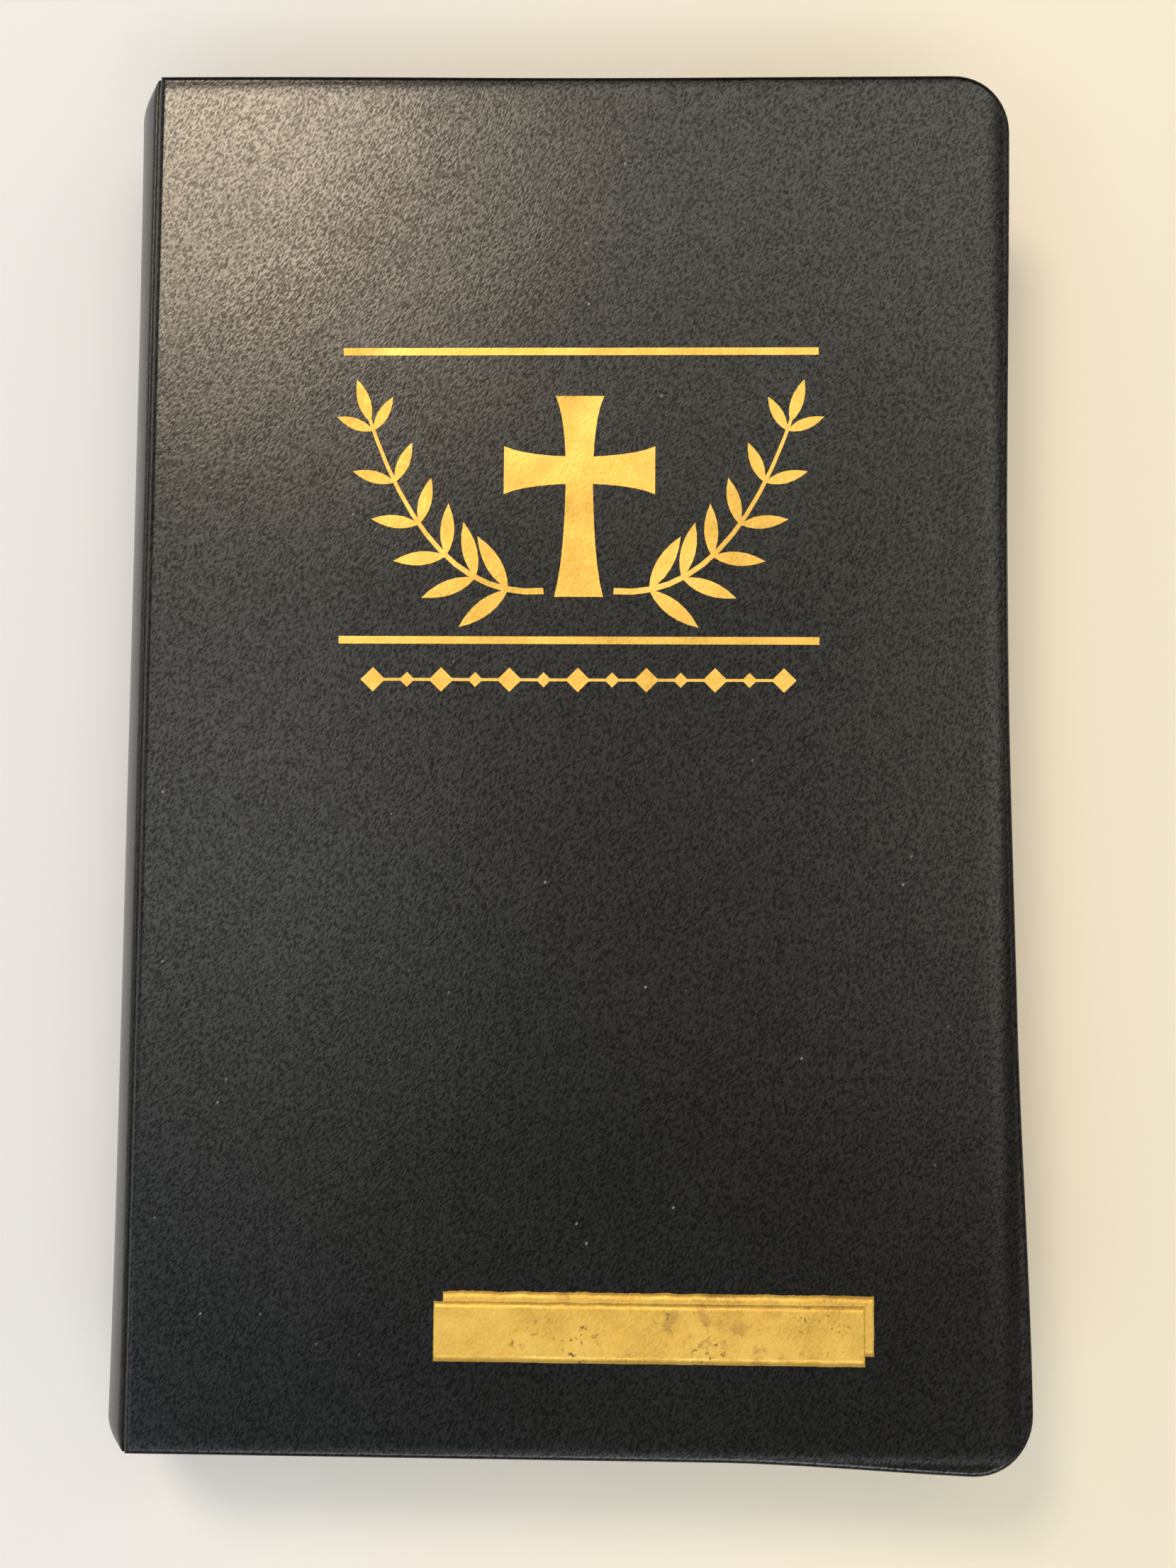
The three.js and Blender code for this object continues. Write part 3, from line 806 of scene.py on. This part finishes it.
def bend_with_middle(made):
    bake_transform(made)


def arc_from(node, steps=48):
    """The middle line and thickness of a curved spine layer, read from its CAD solid."""
    low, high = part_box(node)
    reach = (high.z - low.z) / 2
    sides = {}
    for vert in frame["nodes"][node].data.vertices:
        key = round(vert.co.z - MID_Z, 4)
        sides.setdefault(key, []).append(vert.co.x)
    middle = min(sides, key=abs)
    outer_x = min(sides[middle])
    inner_x = max(sides[middle])
    line_x = (outer_x + inner_x) / 2
    end_x = high.x
    sagitta = end_x - line_x
    radius = (reach ** 2 + sagitta ** 2) / (2 * sagitta)
    span = math.asin(reach / radius)
    line = []
    for i in range(steps + 1):
        turn = span * (1 - 2 * i / steps)
        line.append((line_x + radius * (1 - math.cos(turn)), MID_Z + radius * math.sin(turn)))
    return line, inner_x - outer_x, low.y, high.y


def make_spine_layers():
    for node, material, slot, steps in (
        ("spine_lining", LINING, "lining", 12),
        ("spine_mull", MULL, "mull", 12),
        *((f"sewing_thread_{number}", THREAD, "thread", 3) for number in (1, 2, 3, 4)),
    ):
        line, thickness, y_low, y_high = arc_from(node)
        layer = strip(node + "_laid", line, thickness, y_low, y_high, steps, material)
        sharpen(layer)
        bend_with_middle(layer)
        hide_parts(node)


def make_bands():
    """The head and tail bands: a corded roll, with a bead for each turn of its stripes."""
    for node, sign in (("head_band", 1), ("tail_band", -1)):
        line, thickness, y_low, y_high = arc_from(node, 132)
        centre_y = (y_low + y_high) / 2
        rings = []
        for i, (x, z) in enumerate(line):
            bead = 1 + 0.1 * math.cos(2 * math.pi * i / 4)
            radius = min(thickness, y_high - y_low) / 2 * bead
            ring = []
            for k in range(10):
                turn = 2 * math.pi * k / 10
                ring.append((x + radius * math.cos(turn), centre_y + sign * radius * math.sin(turn), z))
            rings.append(ring)
        points, faces = loft(rings)
        roll = piece(node + "_roll", points, faces, BAND)
        bend_with_middle(roll)
        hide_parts(node)


# ---- Pages --------------------------------------------------------------------------------


def leaf_outline(left, fore, half_height, radius, steps=10):
    """Points round a leaf with rounded fore corners, with a few along each straight side."""
    centre_x = fore - radius
    centre_y = half_height - radius
    outline = [(x, -half_height) for x in spaced(left, centre_x, 6)]
    for i in range(1, steps):
        turn = -math.pi / 2 + math.pi / 2 * i / steps
        outline.append((centre_x + radius * math.cos(turn), -centre_y + radius * math.sin(turn)))
    outline += [(fore, y) for y in spaced(-centre_y, centre_y, 10)]
    for i in range(1, steps):
        turn = math.pi / 2 * i / steps
        outline.append((centre_x + radius * math.cos(turn), centre_y + radius * math.sin(turn)))
    outline += [(x, half_height) for x in spaced(centre_x, left, 6)]
    outline += [(left, y) for y in spaced(half_height, -half_height, 6)[1:-1]]
    return outline


def shape_of(node):
    """(z, spine-side x, fore x) at the bottom and the top of a leaf or section."""
    low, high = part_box(node)
    ends = []
    for level in (low.z, high.z):
        vertices = frame["nodes"][node].data.vertices
        xs = [vert.co.x for vert in vertices if abs(vert.co.z - level) < 1e-6]
        ends.append((level, min(xs), max(xs)))
    return ends, high.y


def page_stack(node, material, body, leaves):
    """A section built up of leaves, each with its own small unevenness at the cut edges."""
    (bottom, top), half_height = shape_of(node)
    pitch = (top[0] - bottom[0]) / leaves
    notch = 0.05 * MM
    taper = 0.16 * pitch
    rings = []

    def ring(level, inset, jitter):
        share = (level - bottom[0]) / (top[0] - bottom[0])
        left = bottom[1] + share * (top[1] - bottom[1]) + inset
        fore = bottom[2] + share * (top[2] - bottom[2]) - inset + jitter
        outline = leaf_outline(left, fore, half_height - inset + jitter / 2, PAGE_CORNER_RADIUS)
        return [(x, y, level) for x, y in outline]

    for i in range(leaves):
        base = bottom[0] + i * pitch
        jitter = RANDOM.uniform(-0.05, 0.04) * MM if leaves > 1 else 0.0
        if i:
            rings.append(ring(base, notch, 0.0))
        rings.append(ring(base + taper * (i > 0), 0.0, jitter))
        rings.append(ring(base + pitch - taper * (i < leaves - 1), 0.0, jitter))
    points, faces = loft(rings)
    made = piece(node + "_leaves", points, faces, material)
    sharpen(made, 30)
    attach(made, body)
    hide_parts(node)


def make_pages():
    bodies = frame["record"]["behaviour"]["bodies"]
    for body in ("rear_block", "front_block"):
        for node in bodies[body]:
            if "_section_" in node:
                page_stack(node, GILT_PAGES, body, 12)
    page_stack("map_leaves", GILT_PAGES, "rear_block", 4)
    page_stack("back_flyleaf", ENDPAPER, "rear_block", 1)
    page_stack("front_flyleaf", ENDPAPER, "front_leaves", 1)
    page_stack("presentation_leaf", PAPER, "front_leaves", 1)
    page_stack("title_leaf", PAPER, "front_leaves", 1)
    page_stack("front_pastedown", ENDPAPER, "front_cover", 1)
    page_stack("back_pastedown", ENDPAPER, "back_cover", 1)


FOLDED_LEAF = 0.03 * MM


def make_centre_leaf():
    """The folded leaf in the middle of the text, between the two halves."""
    gap = FIRST_FRONT_LOW.z - LAST_REAR_HIGH.z
    spread = gap * 0.25
    fold_x = LAST_REAR_LOW.x + 0.3 * MM
    fore = LAST_REAR_HIGH.x - 0.6 * MM
    lower = [(x, FOLD_Z - spread) for x in spaced(fore, fold_x, 40)]
    bend = []
    for i in range(1, 16):
        turn = -math.pi / 2 - math.pi * i / 16
        bend.append((fold_x + spread * math.cos(turn), FOLD_Z + spread * math.sin(turn)))
    upper = [(x, FOLD_Z + spread) for x in spaced(fold_x, fore, 40)]
    half_height = LAST_REAR_HIGH.y - 0.3 * MM
    sheet = strip(
        "centre_leaf", lower + bend + upper, FOLDED_LEAF,
        -half_height, half_height, 24, PRINTED,
    )
    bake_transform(sheet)


def make_hinge_strips():
    """Leather in the bottom of each joint groove, and the endpaper folded over each inner joint."""
    below_cover = 0.3 * MM
    for name, level, cover in (
        ("front_joint_leather", PASTEDOWN_LOW.z - below_cover, "front_cover"),
        ("back_joint_leather", BACK_PASTEDOWN_HIGH.z + below_cover, "back_cover"),
    ):
        line = [(x, level) for x in spaced(HINGE_X - 0.06 * MM, HINGE_X + 0.55 * MM, 20)]
        leather = strip(
            name, line, 0.35 * MM, -HALF_HEIGHT + 2 * MM, HALF_HEIGHT - 2 * MM, 12,
            SPINE_LEATHER,
        )
        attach(leather, cover)
    endpaper_fold(
        "front_endpaper_fold",
        FLYLEAF_HIGH.z + FOLDED_LEAF, PASTEDOWN_LOW.z - FOLDED_LEAF,
    )
    endpaper_fold(
        "back_endpaper_fold",
        BACK_FLYLEAF_LOW.z - FOLDED_LEAF, BACK_PASTEDOWN_HIGH.z + FOLDED_LEAF,
    )


def endpaper_fold(name, leaf_z, cover_z):
    """One sheet from the flyleaf round to the pastedown, with its fold beside the hinge line."""
    middle = (leaf_z + cover_z) / 2
    spread = (cover_z - leaf_z) / 2
    fold_x = HINGE_X + 0.9 * MM
    leaf_side = [(x, leaf_z) for x in spaced(HINGE_X + 3.2 * MM, fold_x, 12)]
    bend = []
    for i in range(1, 14):
        turn = math.pi * i / 14
        bend.append((fold_x - abs(spread) * math.sin(turn), middle - spread * math.cos(turn)))
    cover_side = [(x, cover_z) for x in spaced(fold_x, PASTEDOWN_LOW.x + 0.8 * MM, 12)]
    half_height = FLYLEAF_HIGH.y - 0.4 * MM
    made = strip(
        name, leaf_side + bend + cover_side, FOLDED_LEAF,
        -half_height, half_height, 10, ENDPAPER,
    )
    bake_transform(made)


# ---- Camera, floor and light --------------------------------------------------------------


CAMERA_LENS = 43.9
CAMERA_PLACE = (0.0149, -0.0328, 0.3584)
CAMERA_TURN = (4.75, 1.7, 0.43)


def make_camera():
    """The photo's camera: straight above the book, and tilted a few degrees."""
    data = bpy.data.cameras.new("camera")
    data.lens = CAMERA_LENS
    data.sensor_width = 36
    data.clip_start = 0.01
    camera = bpy.data.objects.new("camera", data)
    camera.location = CAMERA_PLACE
    camera.rotation_euler = [math.radians(turn) for turn in CAMERA_TURN]
    bpy.context.scene.collection.objects.link(camera)
    bpy.context.scene.camera = camera


def make_floor():
    """A pale table, wide enough that its edge is far off when the view is low."""
    size = 14.0
    cells = 28
    points = []
    for j in range(cells + 1):
        for i in range(cells + 1):
            points.append((size * (i / cells - 0.5), size * (j / cells - 0.5), 0))
    faces = []
    for j in range(cells):
        for i in range(cells):
            a = j * (cells + 1) + i
            faces.append((a, a + 1, a + cells + 2, a + cells + 1))
    mesh = bpy.data.meshes.new("floor")
    mesh.from_pydata(points, [], faces)
    mesh.materials.append(floor_material("pale_paper"))
    floor = bpy.data.objects.new("floor", mesh)
    bpy.context.scene.collection.objects.link(floor)


ROOM_BASE = (0.02, 0.02, 0.02)
ROOM_HORIZON = (0.7, 0.68, 0.64)
HORIZON_SPREAD = 0.2
# Each patch: its direction as slopes across and along the book, its spread, strength and colour.
ROOM_PATCHES = (
    ((0.15, 0.5), (0.5, 0.19), 2.8, (1.0, 0.96, 0.84)),
    ((0.1, 0.08), (0.5, 0.06), 0.1, (1.0, 0.97, 0.88)),
    ((0.37, 0.1), (0.25, 0.22), 2.3, (1.0, 0.95, 0.8)),
    ((-0.25, 0.07), (0.13, 0.16), 2.7, (1.0, 1.0, 0.94)),
    ((-0.62, -0.45), (0.28, 0.35), 2.2, (0.66, 0.88, 1.0)),
    ((0.25, -0.82), (0.6, 0.25), 5.4, (0.96, 0.98, 1.0)),
    ((-2.4, 0.2), (1.1, 1.6), 1.6, (1.0, 0.98, 0.93)),
    ((2.4, 0.2), (1.1, 1.6), 1.0, (1.0, 0.95, 0.85)),
)


def scaled_color(tree, color, share):
    node = tree.nodes.new("ShaderNodeVectorMath")
    node.operation = "SCALE"
    node.inputs[0].default_value = color
    tree.links.new(share, node.inputs["Scale"])
    return node.outputs["Vector"]


def make_world():
    """A soft room: a pale horizon and brighter patches round a darker place straight above."""
    world = bpy.data.worlds.new("studio")
    world.use_nodes = True
    tree = world.node_tree

    def calculate(operation, *values):
        return math_node(tree, operation, *values)

    def squared(value, middle, spread):
        return calculate("POWER", calculate("DIVIDE", calculate("SUBTRACT", value, middle), spread), 2.0)

    def falling(value):
        return calculate("EXPONENT", calculate("MULTIPLY", value, -1.0))

    split = tree.nodes.new("ShaderNodeSeparateXYZ")
    tree.links.new(tree.nodes.new("ShaderNodeTexCoord").outputs["Generated"], split.inputs["Vector"])
    up = calculate("MAXIMUM", split.outputs["Z"], 0.02)
    across = calculate("DIVIDE", split.outputs["X"], up)
    along = calculate("DIVIDE", split.outputs["Y"], up)
    colors = []
    for place, spread, strength, color in ROOM_PATCHES:
        from_middle = calculate(
            "ADD", squared(across, place[0], spread[0]), squared(along, place[1], spread[1]),
        )
        colors.append(scaled_color(tree, color, calculate("MULTIPLY", falling(from_middle), strength)))
    from_horizon = squared(split.outputs["Z"], 0.0, HORIZON_SPREAD)
    colors.append(scaled_color(tree, ROOM_HORIZON, falling(from_horizon)))
    total = colors[0]
    for color in colors[1:]:
        added = tree.nodes.new("ShaderNodeVectorMath")
        tree.links.new(total, added.inputs[0])
        tree.links.new(color, added.inputs[1])
        total = added.outputs["Vector"]
    base = tree.nodes.new("ShaderNodeVectorMath")
    base.inputs[1].default_value = ROOM_BASE
    tree.links.new(total, base.inputs[0])
    tree.links.new(base.outputs["Vector"], tree.nodes["Background"].inputs["Color"])
    bpy.context.scene.world = world


WINDOW_PLACE = (-0.46, 0.82, 1.6)
WINDOW_TARGET = (0, 0.02, 0)
WINDOW_SIZE = (0.44, 0.4)
WINDOW_POWER = 10.5
WINDOW_COLOR = (1.0, 0.81, 0.6)


def make_window():
    """The one lamp: a warm window above and to the left of the head of the book."""
    data = bpy.data.lights.new("window", "AREA")
    data.shape = "RECTANGLE"
    data.size, data.size_y = WINDOW_SIZE
    data.energy = WINDOW_POWER
    data.color = WINDOW_COLOR
    light = bpy.data.objects.new("window", data)
    light.location = WINDOW_PLACE
    aim = Vector(WINDOW_TARGET) - Vector(WINDOW_PLACE)
    light.rotation_euler = aim.to_track_quat("-Z", "Y").to_euler()
    bpy.context.scene.collection.objects.link(light)


# ---- The whole scene ----------------------------------------------------------------------

make_camera()
colour_boards()
make_covers()
make_title_foil()
make_imprint_bar()
make_spine_skin()
make_spine_layers()
make_bands()
make_pages()
make_centre_leaf()
make_hinge_strips()
make_floor()
make_world()
make_window()
bpy.context.scene.view_settings.view_transform = "Standard"
